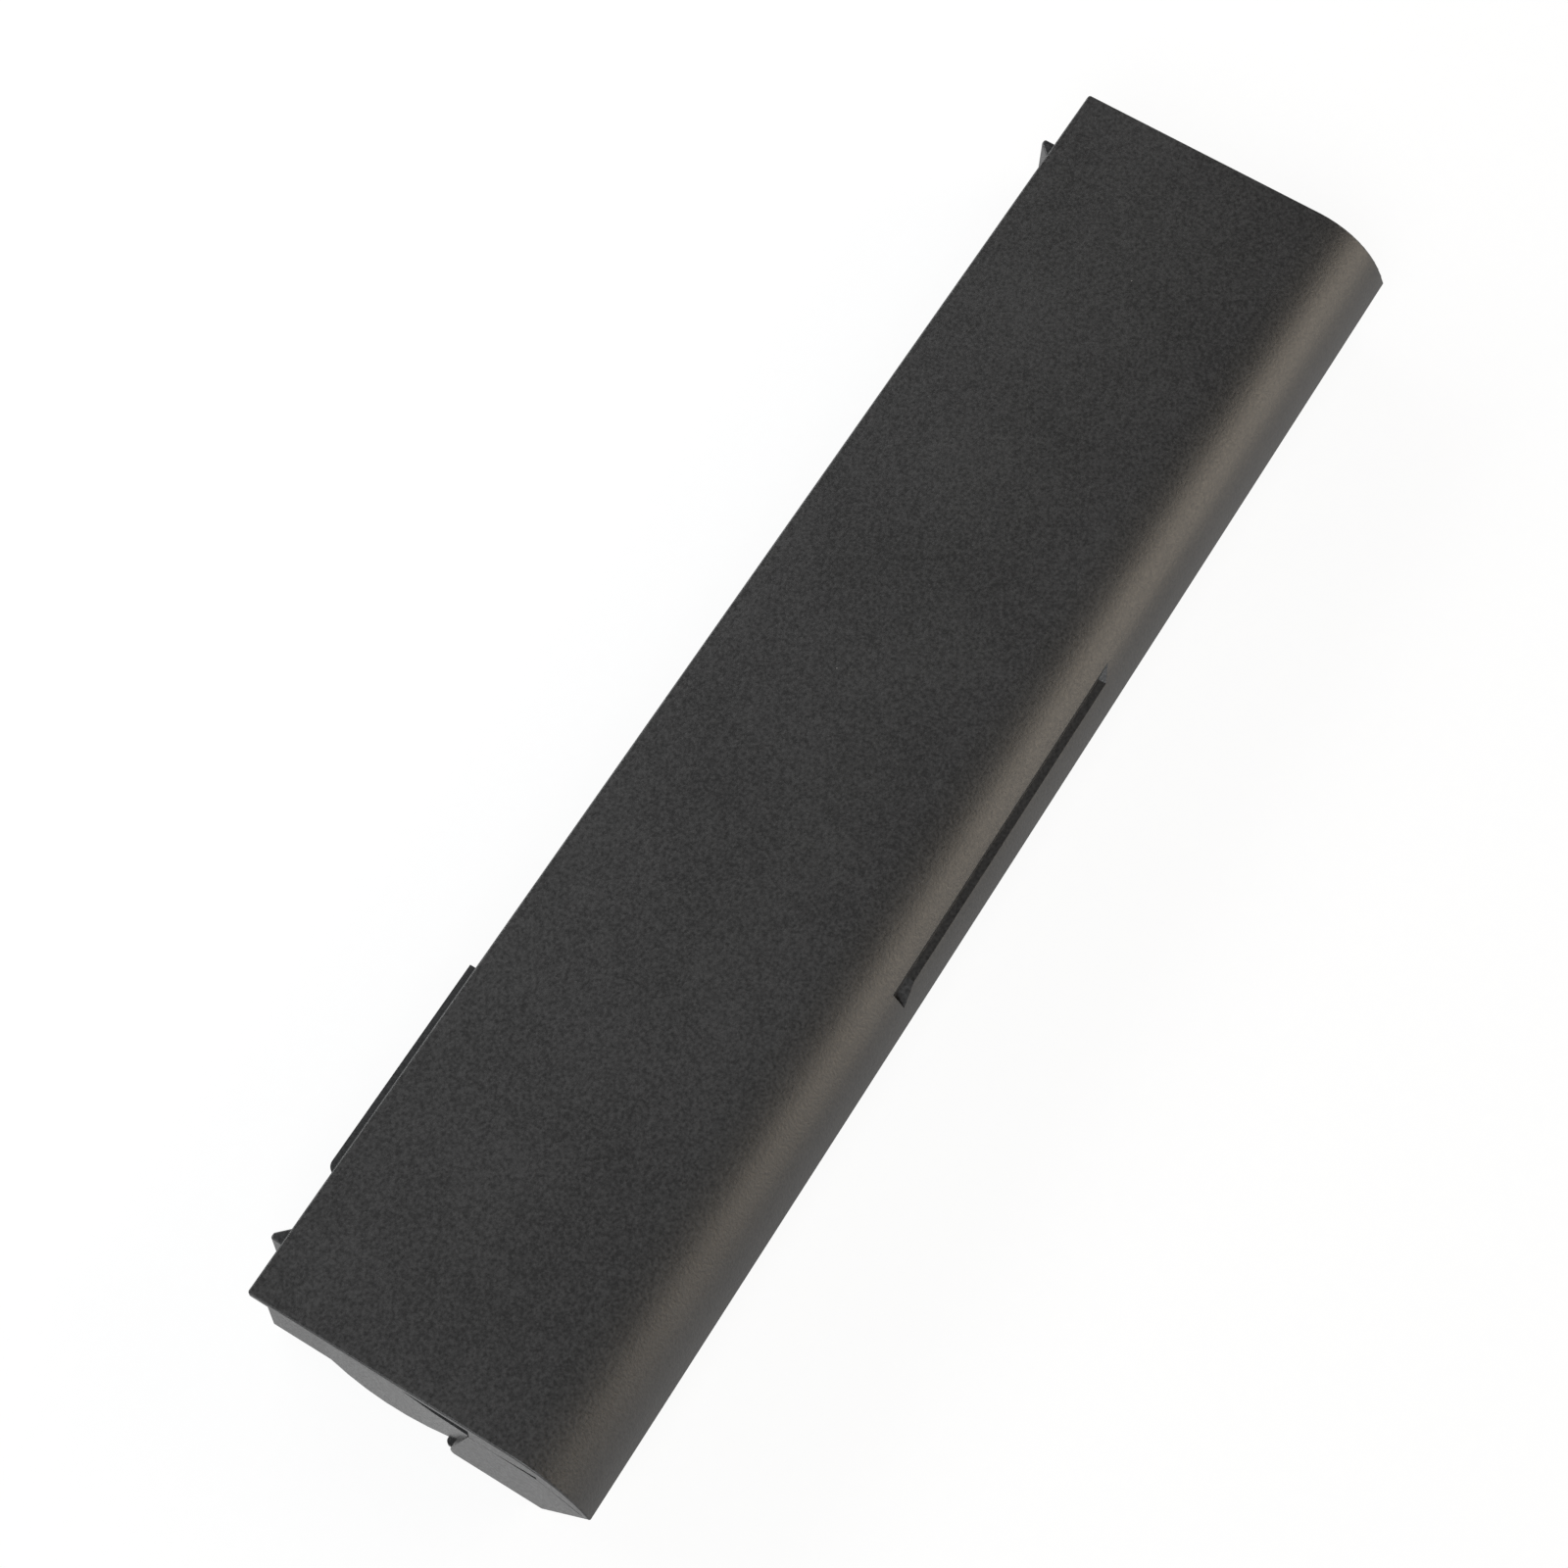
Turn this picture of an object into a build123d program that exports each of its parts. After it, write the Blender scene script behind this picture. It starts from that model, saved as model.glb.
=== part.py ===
from build123d import *
import os
from math import acos, asin, atan2, cos, hypot, radians, sin, tan

# Laptop battery lying on its label side: +X along the pack, +Y towards the edge with the connector and the
# hooks, +Z up to the plain cover. The origin is at the middle of the underside. All sizes in millimetres.

# Cells: three end to end in each of two rows
CELL_DIAMETER = 18.2
CELL_LENGTH = 65.2
CELL_END_ROUND = 0.8
CELL_CAP_RADIUS = 4.2
CELL_CAP_RISE = 0.3
CELL_NECK_DEPTH = 0.6
CELL_NECK_WIDTH = 1.6
CELL_NECK_FROM_END = 3.2
ROW_GAP = 0.3
RING_RADIUS = 8.0
RING_BORE_CLEARANCE = 0.4

# Walls and clearances of the casing
ROOF = 1.0
FLOOR = 1.0
SIDE_WALL = 1.0
EDGE_WALL = 1.4
END_WALL = 1.1
CELL_CLEARANCE = 0.1
SIDE_CLEARANCE = 0.2
SEAT_CLEARANCE = 0.05
SEAM_GAP = 0.12

# Stack at the end of each row, from the cell to the end wall, and between two cells
STRIP_THICKNESS = 0.2
STRIP_WIDTH = 8.0
STRIP_MARGIN = 5.0
STRIP_FOLD_GAP = 0.5
PAPER_THICKNESS = 0.3
FOAM_THICKNESS = 1.4
SPACER_THICKNESS = 0.8
PAD_INSET = 3.1

# Channel for the board, between the long inner wall and the inner row
BOARD_THICKNESS = 0.8
BOARD_HEIGHT = 14.0
BOARD_END_GAP = 1.0
BOARD_PAST_STRIP = 13.8
FLANGE_THICKNESS = 3.25
COMPONENT_ROOM = 1.6
INSULATOR_THICKNESS = 0.4
INSULATOR_BELOW = 6.2
INSULATOR_ABOVE = 4.4
INSULATOR_END_GAP = 2.5
TAB_LENGTH = 7.0

# Cover
EDGE_OVERHANG = 0.05
END_OVERHANG = 2.0
NOSE_RADIUS = 12.5
NOSE_DROP = 8.28
NOSE_REACH = 4.95
NOSE_STEP = 0.3
LIP_DEPTH = 3.75
LIP_THICKNESS = 1.2
LIP_START = 17.15
LIP_BREAK = 7.15
NOTCH_FROM_BREAK = 0.35
NOTCH_LENGTH = 6.0
NOTCH_HEIGHT = 0.8
COVER_CORNER = 0.4
COVER_EDGE = 0.25

# Finger groove in the rounded edge
GROOVE_HALF_LENGTH = 28.0
GROOVE_DROP = 4.9
GROOVE_BACK = 3.0
GROOVE_DIP = 0.9
GROOVE_DIP_LENGTH = 3.5
GROOVE_RUNOUT_ANGLE = 30.0
GROOVE_BACKING = 1.2
GROOVE_BACKING_OVER = 3.0
GROOVE_BACKING_ABOVE = 8.0
GROOVE_BACKING_BELOW = 8.0

# End walls of the shell
BLOCK_WIDTH = 21.8
BLOCK_CORNER = 3.0
BLOCK_END_ROUND = 1.7
LEDGE_REACH = 1.3
LEDGE_PAST_BLOCK = 0.5
LEDGE_HEIGHT = 1.0
LEDGE_ROUND = 0.7
BULGE_WIDTH = 19.9
BULGE_TUCK = 1.3
BULGE_RISE = 0.95
BULGE_END_RISE = 0.1
BROW_RISE = 1.55
BROW_FROM_BLOCK = 6.45
FOOT_CHAMFER = 0.8
SLOT_LENGTH = 10.0
SLOT_HEIGHT = 2.1
SLOT_DEPTH = 0.6
SHELL_EDGE_ROUND = 0.5
SHELL_KEEL_ROUND = 2.0

# Hooks on the long inner wall
HOOK_REACH = 2.5
HOOK_FROM_END = 7.8
HOOK_TIP_WIDTH = 0.8
HOOK_FLANK_ANGLE = 45.0
HOOK_TOP = 3.4
HOOK_HEIGHT = 9.6
HOOK_TIP_ROUND = 0.35
HOOK_EDGE = 0.25

# Connector
CONNECTOR_FROM_END = 34.5
CONNECTOR_LENGTH = 32.2
CONNECTOR_HEIGHT = 7.5
CONNECTOR_BELOW_TOP = 2.4
CONNECTOR_REACH = 1.4
CONNECTOR_CORNER = 1.4
CONNECTOR_CLEARANCE = 0.2
FLANGE_MARGIN = 1.0
CONTACT_COUNT = 9
CONTACT_PITCH = 3.2
CONTACT_SLOT_WIDTH = 1.2
CONTACT_SLOT_HEIGHT = 5.0
CONTACT_REAR_WALL = 1.3
CONTACT_LEAF = 0.2
CONTACT_LEAF_LENGTH = 4.0
CONTACT_HEIGHT = 4.4
CONTACT_TAIL = 0.5
CONTACT_TAIL_STICK_OUT = 0.6
CONTACT_HOLE_RADIUS = 0.4

# Saddles and posts moulded into the casing
SADDLE_THICKNESS = 2.0
SADDLE_FROM_CELL_MIDDLE = 18.0
SADDLE_RISE = 5.0
SADDLE_END_GAP = 0.5
SHELL_SADDLE_MARGIN = 5.8
COVER_SADDLE_MARGIN = 2.0
POST_WIDTH = 4.0
POST_INSET = 3.0
POST_GRIP = 1.2
POST_JAW = 0.7
RIM_HEIGHT = 1.2
RIM_THICKNESS = 0.4
RIM_CLEARANCE = 0.05
RIM_END_GAP = 3.0

# Label
LABEL_THICKNESS = 0.15
LABEL_RECESS = 0.2
LABEL_END_MARGIN = 14.0
LABEL_SIDE_MARGIN = 5.0
LABEL_CORNER = 1.5
LABEL_GAP = 0.3

# Parts on the board
CHIP_X = -8.0
CHIP_LENGTH = 9.8
CHIP_WIDTH = 4.4
CHIP_HEIGHT = 1.0
CHIP_LEADS = 15
CHIP_LEAD_PITCH = 0.64
CHIP_LEAD_WIDTH = 0.3
CHIP_LEAD_REACH = 1.0
CHIP_LEAD_HEIGHT = 0.3
MOSFET_FROM_CHIP = 11.5
MOSFET_PITCH = 6.5
MOSFET_COUNT = 2
MOSFET_LENGTH = 5.0
MOSFET_WIDTH = 6.0
MOSFET_HEIGHT = 1.0
FUSE_FROM_GAP = 11.7
FUSE_LENGTH = 4.0
FUSE_WIDTH = 3.0
FUSE_HEIGHT = 0.9
SHUNT_FROM_GAP = 9.2
SHUNT_LENGTH = 6.4
SHUNT_WIDTH = 3.2
SHUNT_HEIGHT = 0.6
CAPACITOR_LENGTH = 1.6
CAPACITOR_WIDTH = 0.8
CAPACITOR_HEIGHT = 0.8
CAPACITOR_ROW_PITCH = 3.0
CAPACITOR_ROW_COUNT = 4
CAPACITOR_ROW_OFFSET = 4.8
BEAD_X = -2.0
BEAD_RADIUS = 1.2
BEAD_LENGTH = 4.0
BEAD_ANGLE = 35.0
LEAD_RADIUS = 0.2
LEAD_PITCH = 1.27

# Overall sizes
CELL_RADIUS = CELL_DIAMETER / 2
PAD_MARGIN = CELL_RADIUS - PAD_INSET
PAD_HEIGHT = CELL_DIAMETER - 2 * PAD_INSET
CELL_PITCH = CELL_LENGTH + SPACER_THICKNESS + 2 * STRIP_THICKNESS
ROW_HALF = CELL_PITCH + CELL_LENGTH / 2
CAVITY_HALF = ROW_HALF + STRIP_THICKNESS + PAPER_THICKNESS + FOAM_THICKNESS
SHELL_HALF = CAVITY_HALF + END_WALL
COVER_HALF = SHELL_HALF + END_OVERHANG
HEIGHT = FLOOR + CELL_CLEARANCE + CELL_DIAMETER + CELL_CLEARANCE + ROOF
ROOF_Z = HEIGHT - ROOF
CELL_Z = FLOOR + CELL_CLEARANCE + CELL_RADIUS
CHANNEL = FLANGE_THICKNESS + BOARD_THICKNESS + COMPONENT_ROOM + INSULATOR_THICKNESS
COVER_WIDTH = EDGE_OVERHANG + EDGE_WALL + CHANNEL + 2 * CELL_DIAMETER + ROW_GAP + NOSE_REACH

# Places across the pack, from the rounded nose to the tips of the hooks
NOSE_Y = -(COVER_WIDTH + HOOK_REACH) / 2
EDGE_Y = NOSE_Y + COVER_WIDTH
HOOK_TIP_Y = EDGE_Y + HOOK_REACH
WALL_OUT_Y = EDGE_Y - EDGE_OVERHANG
WALL_IN_Y = WALL_OUT_Y - EDGE_WALL
BOARD_BACK_Y = WALL_IN_Y - FLANGE_THICKNESS
BOARD_FACE_Y = BOARD_BACK_Y - BOARD_THICKNESS
INSULATOR_Y = BOARD_FACE_Y - COMPONENT_ROOM
CELL_SIDE_Y = INSULATOR_Y - INSULATOR_THICKNESS
INNER_ROW_Y = CELL_SIDE_Y - CELL_RADIUS
OUTER_ROW_Y = INNER_ROW_Y - CELL_DIAMETER - ROW_GAP
ROWS_Y = (INNER_ROW_Y, OUTER_ROW_Y)

# Rounded nose: an arc that starts level with the top and ends in the sharp parting edge
NOSE_Z = HEIGHT - NOSE_DROP
NOSE_INNER_RADIUS = NOSE_RADIUS - ROOF
NOSE_ANGLE = acos((NOSE_RADIUS - NOSE_DROP) / NOSE_RADIUS)
NOSE_INNER_ANGLE = acos((NOSE_RADIUS - NOSE_DROP) / NOSE_INNER_RADIUS)
NOSE_CENTRE_Y = NOSE_Y + NOSE_RADIUS * sin(NOSE_ANGLE)
NOSE_CENTRE_Z = HEIGHT - NOSE_RADIUS

# Slanted outer wall: a plane from the parting edge that passes the outer row at wall and clearance
SLANT_FOOT_Y = NOSE_Y + NOSE_STEP
SLANT_TO_CELL_Y = OUTER_ROW_Y - SLANT_FOOT_Y
SLANT_TO_CELL_Z = CELL_Z - NOSE_Z
SLANT_TANGENT = asin((CELL_RADIUS + SIDE_CLEARANCE + SIDE_WALL) / hypot(SLANT_TO_CELL_Y, SLANT_TO_CELL_Z))
SLANT_ANGLE = SLANT_TANGENT - atan2(SLANT_TO_CELL_Z, SLANT_TO_CELL_Y)

# Places along the pack
CELL_XS = (-CELL_PITCH, 0.0, CELL_PITCH)
GAP_XS = (-CELL_PITCH / 2, CELL_PITCH / 2)
SADDLE_XS = [x + side * SADDLE_FROM_CELL_MIDDLE for x in CELL_XS for side in (-1, 1)]
BOARD_LEFT = -ROW_HALF + BOARD_END_GAP
BOARD_RIGHT = GAP_XS[1] + BOARD_PAST_STRIP
BOARD_MIDDLE_X = (BOARD_LEFT + BOARD_RIGHT) / 2
BOARD_BOTTOM_Z = CELL_Z - BOARD_HEIGHT / 2
BOARD_TOP_Z = CELL_Z + BOARD_HEIGHT / 2
POST_XS = (BOARD_LEFT + POST_INSET, BOARD_MIDDLE_X, BOARD_RIGHT - POST_INSET)
CONNECTOR_X = -COVER_HALF + CONNECTOR_FROM_END
CONNECTOR_FRONT_Y = EDGE_Y + CONNECTOR_REACH
CONNECTOR_Z = HEIGHT - CONNECTOR_BELOW_TOP - CONNECTOR_HEIGHT / 2
CONTACT_BASE_Y = BOARD_BACK_Y + CONTACT_REAR_WALL
CONTACT_XS = [CONNECTOR_X + (i - (CONTACT_COUNT - 1) / 2) * CONTACT_PITCH for i in range(CONTACT_COUNT)]
HOOK_X = COVER_HALF - HOOK_FROM_END


def nose_point(radius, angle):
    """Point of the nose's section at this radius, by the angle from straight up."""
    return (NOSE_CENTRE_Y - radius * sin(angle), NOSE_CENTRE_Z + radius * cos(angle))


def slant_y(z, inset=0.0):
    """Y of the slanted outer wall at this height, moved into the wall by the inset."""
    return SLANT_FOOT_Y + inset / sin(SLANT_ANGLE) + (NOSE_Z - z) / tan(SLANT_ANGLE)


def box_between(low, high, mode=Mode.ADD):
    """Box from its low corner to its high corner."""
    size = [b - a for a, b in zip(low, high)]
    with Locations(tuple((a + b) / 2 for a, b in zip(low, high))):
        Box(*size, mode=mode)


def end_wall_section(side, z, inset, start_y, middle, end):
    """Section of the bulged end wall: an arc from the flat wall through the middle to the end, set in."""
    with BuildSketch(Plane.XY.offset(z)) as section:
        with BuildLine():
            face = ThreePointArc(
                (side * (SHELL_HALF - inset), start_y),
                (side * (middle[0] - inset), middle[1]),
                (side * (end[0] - inset), end[1]),
            )
            Polyline(face @ 1, (side * CAVITY_HALF, end[1]), (side * CAVITY_HALF, start_y), face @ 0)
        make_face()
    return section.sketch


def saddles(low_y, high_y, low_z, high_z):
    """Cross ribs at each saddle, before the cells' beds are cut."""
    half = SADDLE_THICKNESS / 2
    for x in SADDLE_XS:
        box_between((x - half, low_y, low_z), (x + half, high_y, high_z))


def cell_beds():
    """Cuts the round beds of both rows of cells."""
    for y in ROWS_Y:
        with Locations(Location((0, y, CELL_Z), (0, 90, 0))):
            Cylinder(CELL_RADIUS + SEAT_CLEARANCE, 2 * CAVITY_HALF, mode=Mode.SUBTRACT)


def board_grips(low_z, high_z, slot_low_z, slot_high_z):
    """Posts with a slot that grips one long edge of the board."""
    half = POST_WIDTH / 2
    for x in POST_XS:
        box_between((x - half, BOARD_FACE_Y - POST_JAW, low_z), (x + half, WALL_IN_Y, high_z))
        box_between(
            (x - half, BOARD_FACE_Y, slot_low_z), (x + half, BOARD_BACK_Y, slot_high_z), mode=Mode.SUBTRACT
        )


def pad(low_x, high_x):
    """Flat block across both rows, behind the ends of the cells."""
    box_between(
        (low_x, OUTER_ROW_Y - PAD_MARGIN, CELL_Z - PAD_HEIGHT / 2),
        (high_x, INNER_ROW_Y + PAD_MARGIN, CELL_Z + PAD_HEIGHT / 2),
    )


def strip(low_x, high_x, low_y, high_y):
    """One flat run of a nickel strip, standing on edge."""
    box_between((low_x, low_y, CELL_Z - STRIP_WIDTH / 2), (high_x, high_y, CELL_Z + STRIP_WIDTH / 2))


def on_board(x, z, length, width, height):
    """Box that stands on the component face of the board."""
    box_between(
        (x - length / 2, BOARD_FACE_Y - height, z - width / 2), (x + length / 2, BOARD_FACE_Y, z + width / 2)
    )


def finish(node, name):
    """Labels the piece and writes it."""
    node.part.label = name
    export_step(node.part, f"parts/{name}.step")


os.makedirs("parts", exist_ok=True)

# Cover: plate, rounded nose, end lips, groove, and ribs inside
with BuildPart() as top_cover:
    with BuildSketch(Plane.YZ):
        with BuildLine():
            top = Line((EDGE_Y, HEIGHT), (NOSE_CENTRE_Y, HEIGHT))
            outer = ThreePointArc(top @ 1, nose_point(NOSE_RADIUS, NOSE_ANGLE / 2), (NOSE_Y, NOSE_Z))
            rim = Line(outer @ 1, nose_point(NOSE_INNER_RADIUS, NOSE_INNER_ANGLE))
            inner = ThreePointArc(
                rim @ 1, nose_point(NOSE_INNER_RADIUS, NOSE_INNER_ANGLE / 2), (NOSE_CENTRE_Y, ROOF_Z)
            )
            under = Line(inner @ 1, (EDGE_Y, ROOF_Z))
            Line(under @ 1, top @ 0)
        make_face()
    extrude(amount=COVER_HALF, both=True)
    fillet(top_cover.edges().filter_by(Axis.Z).group_by(Axis.Y)[-1], COVER_CORNER)
    fillet(top_cover.edges().filter_by(Axis.X).group_by(Axis.Z)[-1].sort_by(Axis.Y)[-1], COVER_EDGE)
    # Lips that close the ends under the nose, each with a notch that tapers out along its lower edge
    lip_z = HEIGHT - LIP_DEPTH
    notch_y = NOSE_Y + LIP_BREAK + NOTCH_FROM_BREAK
    for side in (-1, 1):
        with BuildSketch(Plane.YZ.offset(side * (COVER_HALF - LIP_THICKNESS / 2))):
            with BuildLine():
                lip_top = Line((NOSE_Y + LIP_START, ROOF_Z), (NOSE_CENTRE_Y, ROOF_Z))
                lip_arc = ThreePointArc(
                    lip_top @ 1,
                    nose_point(NOSE_INNER_RADIUS, NOSE_INNER_ANGLE / 2),
                    nose_point(NOSE_INNER_RADIUS, NOSE_INNER_ANGLE),
                )
                Polyline(
                    lip_arc @ 1,
                    (NOSE_Y + LIP_BREAK, lip_z),
                    (notch_y, lip_z),
                    (notch_y, lip_z + NOTCH_HEIGHT),
                    (notch_y + NOTCH_LENGTH, lip_z),
                    (NOSE_Y + LIP_START, lip_z),
                    lip_top @ 0,
                )
            make_face()
        extrude(amount=LIP_THICKNESS / 2, both=True)
    # Thicker wall behind the groove
    groove_angle = asin((NOSE_CENTRE_Y - NOSE_Y - GROOVE_BACK) / NOSE_RADIUS)
    backing_top = groove_angle - radians(GROOVE_BACKING_ABOVE)
    backing_foot = NOSE_ANGLE - radians(GROOVE_BACKING_BELOW)
    backing_out = NOSE_RADIUS - ROOF / 2
    backing_in = NOSE_INNER_RADIUS - GROOVE_BACKING
    with BuildSketch(Plane.YZ):
        with BuildLine():
            Polyline(
                nose_point(backing_out, backing_top),
                nose_point(backing_out, backing_foot),
                nose_point(backing_in, backing_foot),
                nose_point(backing_in, backing_top),
                close=True,
            )
        make_face()
    extrude(amount=GROOVE_HALF_LENGTH + GROOVE_BACKING_OVER, both=True)
    # Groove: a level ledge, deeper and square at one end, running out to the surface at the other
    ledge_z = HEIGHT - GROOVE_DROP
    runout_slope = tan(radians(GROOVE_RUNOUT_ANGLE))
    runout_x = GROOVE_HALF_LENGTH - (nose_point(NOSE_RADIUS, groove_angle)[1] - ledge_z) / runout_slope
    with BuildSketch(Plane.XZ.offset(-NOSE_Y - GROOVE_BACK)):
        with BuildLine():
            Polyline(
                (-GROOVE_HALF_LENGTH, HEIGHT),
                (-GROOVE_HALF_LENGTH, ledge_z - GROOVE_DIP),
                (-GROOVE_HALF_LENGTH + GROOVE_DIP_LENGTH, ledge_z),
                (runout_x, ledge_z),
                (runout_x + GROOVE_DROP / runout_slope, HEIGHT),
                close=True,
            )
        make_face()
    extrude(amount=2 * GROOVE_BACK, mode=Mode.SUBTRACT)
    # Saddles over the cells, holders over the board and a rim inside the long wall
    saddles(OUTER_ROW_Y - COVER_SADDLE_MARGIN, CELL_SIDE_Y - SADDLE_END_GAP, ROOF_Z - SADDLE_RISE, ROOF_Z)
    cell_beds()
    board_grips(BOARD_TOP_Z - POST_GRIP, ROOF_Z, BOARD_TOP_Z - POST_GRIP, BOARD_TOP_Z)
    rim_out_y = WALL_IN_Y - RIM_CLEARANCE
    box_between(
        (CONNECTOR_X + CONNECTOR_LENGTH / 2 + RIM_END_GAP, rim_out_y - RIM_THICKNESS, ROOF_Z - RIM_HEIGHT),
        (CAVITY_HALF - RIM_END_GAP, rim_out_y, ROOF_Z),
    )
finish(top_cover, "top_cover")

# Shell: tray under the cover, with end blocks, hooks, the connector's window and the label's recess
flat_middle_y = (WALL_OUT_Y + slant_y(0)) / 2
label_length = 2 * (SHELL_HALF - LABEL_END_MARGIN)
label_width = WALL_OUT_Y - slant_y(0) - 2 * LABEL_SIDE_MARGIN
with BuildPart() as bottom_shell:
    bed_radius = NOSE_INNER_RADIUS - SEAM_GAP
    bed_angle = acos((NOSE_RADIUS - NOSE_DROP) / bed_radius)
    with BuildSketch(Plane.YZ):
        with BuildLine():
            lid_line = Line((WALL_OUT_Y, ROOF_Z), (NOSE_CENTRE_Y, ROOF_Z))
            step = Line(lid_line @ 1, (NOSE_CENTRE_Y, NOSE_CENTRE_Z + bed_radius))
            crown = ThreePointArc(
                step @ 1, nose_point(bed_radius, bed_angle / 2), nose_point(bed_radius, bed_angle)
            )
            FilletPolyline(
                crown @ 1,
                (slant_y(NOSE_Z), NOSE_Z),
                (slant_y(0), 0),
                (WALL_OUT_Y, 0),
                (WALL_OUT_Y, ROOF_Z),
                radius=[0, SHELL_KEEL_ROUND, SHELL_EDGE_ROUND],
            )
        make_face()
    extrude(amount=SHELL_HALF, both=True)
    block_y = NOSE_Y + BLOCK_WIDTH
    ledge_y = block_y + LEDGE_PAST_BLOCK
    tuck_y = block_y - BULGE_TUCK
    bulge_y = tuck_y + BULGE_WIDTH
    slot_y = NOSE_Y + LIP_START
    slot_z = ROOF_Z - SLOT_HEIGHT
    seam_z = lip_z - SEAM_GAP
    for side in (-1, 1):
        # Chamfer under the inner half of the end wall
        with BuildSketch(Plane.XZ.offset(-WALL_OUT_Y)):
            with BuildLine():
                Polyline(
                    (side * SHELL_HALF, FOOT_CHAMFER),
                    (side * SHELL_HALF, 0),
                    (side * (SHELL_HALF - FOOT_CHAMFER), 0),
                    close=True,
                )
            make_face()
        extrude(amount=WALL_OUT_Y - block_y, mode=Mode.SUBTRACT)
        # Block with a leaning inner end, which carries the outer half of the end wall to the end of the cover
        with BuildSketch(Plane.YZ.offset(side * SHELL_HALF)):
            with BuildLine():
                FilletPolyline(
                    (slot_y + SEAM_GAP, seam_z),
                    (NOSE_Y + LIP_BREAK, seam_z),
                    (slant_y(NOSE_Z, SIDE_WALL), NOSE_Z),
                    (slant_y(NOSE_Z), NOSE_Z),
                    (slant_y(0), 0),
                    (block_y, 0),
                    radius=[0, 0, 0, 0, SHELL_KEEL_ROUND, BLOCK_CORNER],
                    close=True,
                )
            make_face()
        extrude(amount=side * END_OVERHANG)
        # Low ledge in the corner between the block and the inner half
        with BuildSketch(Plane.XY):
            with BuildLine():
                FilletPolyline(
                    (side * CAVITY_HALF, ledge_y),
                    (side * (SHELL_HALF + LEDGE_REACH), ledge_y),
                    (side * (SHELL_HALF + LEDGE_REACH), slot_y),
                    (side * CAVITY_HALF, slot_y),
                    radius=[0, LEDGE_ROUND, 0, 0],
                    close=True,
                )
            make_face()
        extrude(amount=LEDGE_HEIGHT)
        # Rounded lower edge of the block
        with BuildSketch(Plane.XZ.offset(-ledge_y)):
            with BuildLine():
                low_corner = Polyline(
                    (side * COVER_HALF, BLOCK_END_ROUND),
                    (side * COVER_HALF, 0),
                    (side * (COVER_HALF - BLOCK_END_ROUND), 0),
                )
                TangentArc(low_corner @ 1, low_corner @ 0, tangent=(side, 0))
            make_face()
        extrude(amount=ledge_y - NOSE_Y, mode=Mode.SUBTRACT)
        # Inner half of the end wall: bulges at the foot, and leans out to the block under the slot
        foot_middle = (SHELL_HALF + BULGE_RISE, (bulge_y + tuck_y) / 2)
        foot_end = (SHELL_HALF + BULGE_END_RISE, tuck_y)
        brow_middle = (SHELL_HALF + BROW_RISE, block_y + BROW_FROM_BLOCK)
        brow_end = (COVER_HALF, slot_y + SEAM_GAP)
        base = end_wall_section(side, 0, FOOT_CHAMFER, bulge_y, foot_middle, foot_end)
        foot = end_wall_section(side, FOOT_CHAMFER, 0, bulge_y, foot_middle, foot_end)
        brow = end_wall_section(side, slot_z, 0, bulge_y, brow_middle, brow_end)
        loft([base, foot, brow], ruled=True)
        # Slot between the end wall and the cover
        slot_xs = sorted((side * (SHELL_HALF - SLOT_DEPTH), side * SHELL_HALF))
        box_between(
            (slot_xs[0], slot_y, slot_z), (slot_xs[1], slot_y + SLOT_LENGTH, ROOF_Z), mode=Mode.SUBTRACT
        )
    # Hollow for the cells and the board
    with BuildSketch(Plane.YZ):
        with BuildLine():
            Polyline(
                (WALL_IN_Y, FLOOR),
                (WALL_IN_Y, HEIGHT),
                (NOSE_Y, HEIGHT),
                (NOSE_Y, NOSE_Z),
                (slant_y(NOSE_Z, SIDE_WALL), NOSE_Z),
                (slant_y(FLOOR, SIDE_WALL), FLOOR),
                close=True,
            )
        make_face()
    extrude(amount=CAVITY_HALF, both=True, mode=Mode.SUBTRACT)
    saddles(OUTER_ROW_Y - SHELL_SADDLE_MARGIN, CELL_SIDE_Y - SADDLE_END_GAP, FLOOR, FLOOR + SADDLE_RISE)
    cell_beds()
    board_grips(FLOOR, BOARD_BOTTOM_Z + POST_GRIP, BOARD_BOTTOM_Z, BOARD_BOTTOM_Z + POST_GRIP)
    # Window for the connector
    window_half = CONNECTOR_LENGTH / 2 + CONNECTOR_CLEARANCE
    window_rise = CONNECTOR_HEIGHT / 2 + CONNECTOR_CLEARANCE
    box_between(
        (CONNECTOR_X - window_half, WALL_IN_Y, CONNECTOR_Z - window_rise),
        (CONNECTOR_X + window_half, WALL_OUT_Y, CONNECTOR_Z + window_rise),
        mode=Mode.SUBTRACT,
    )
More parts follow.
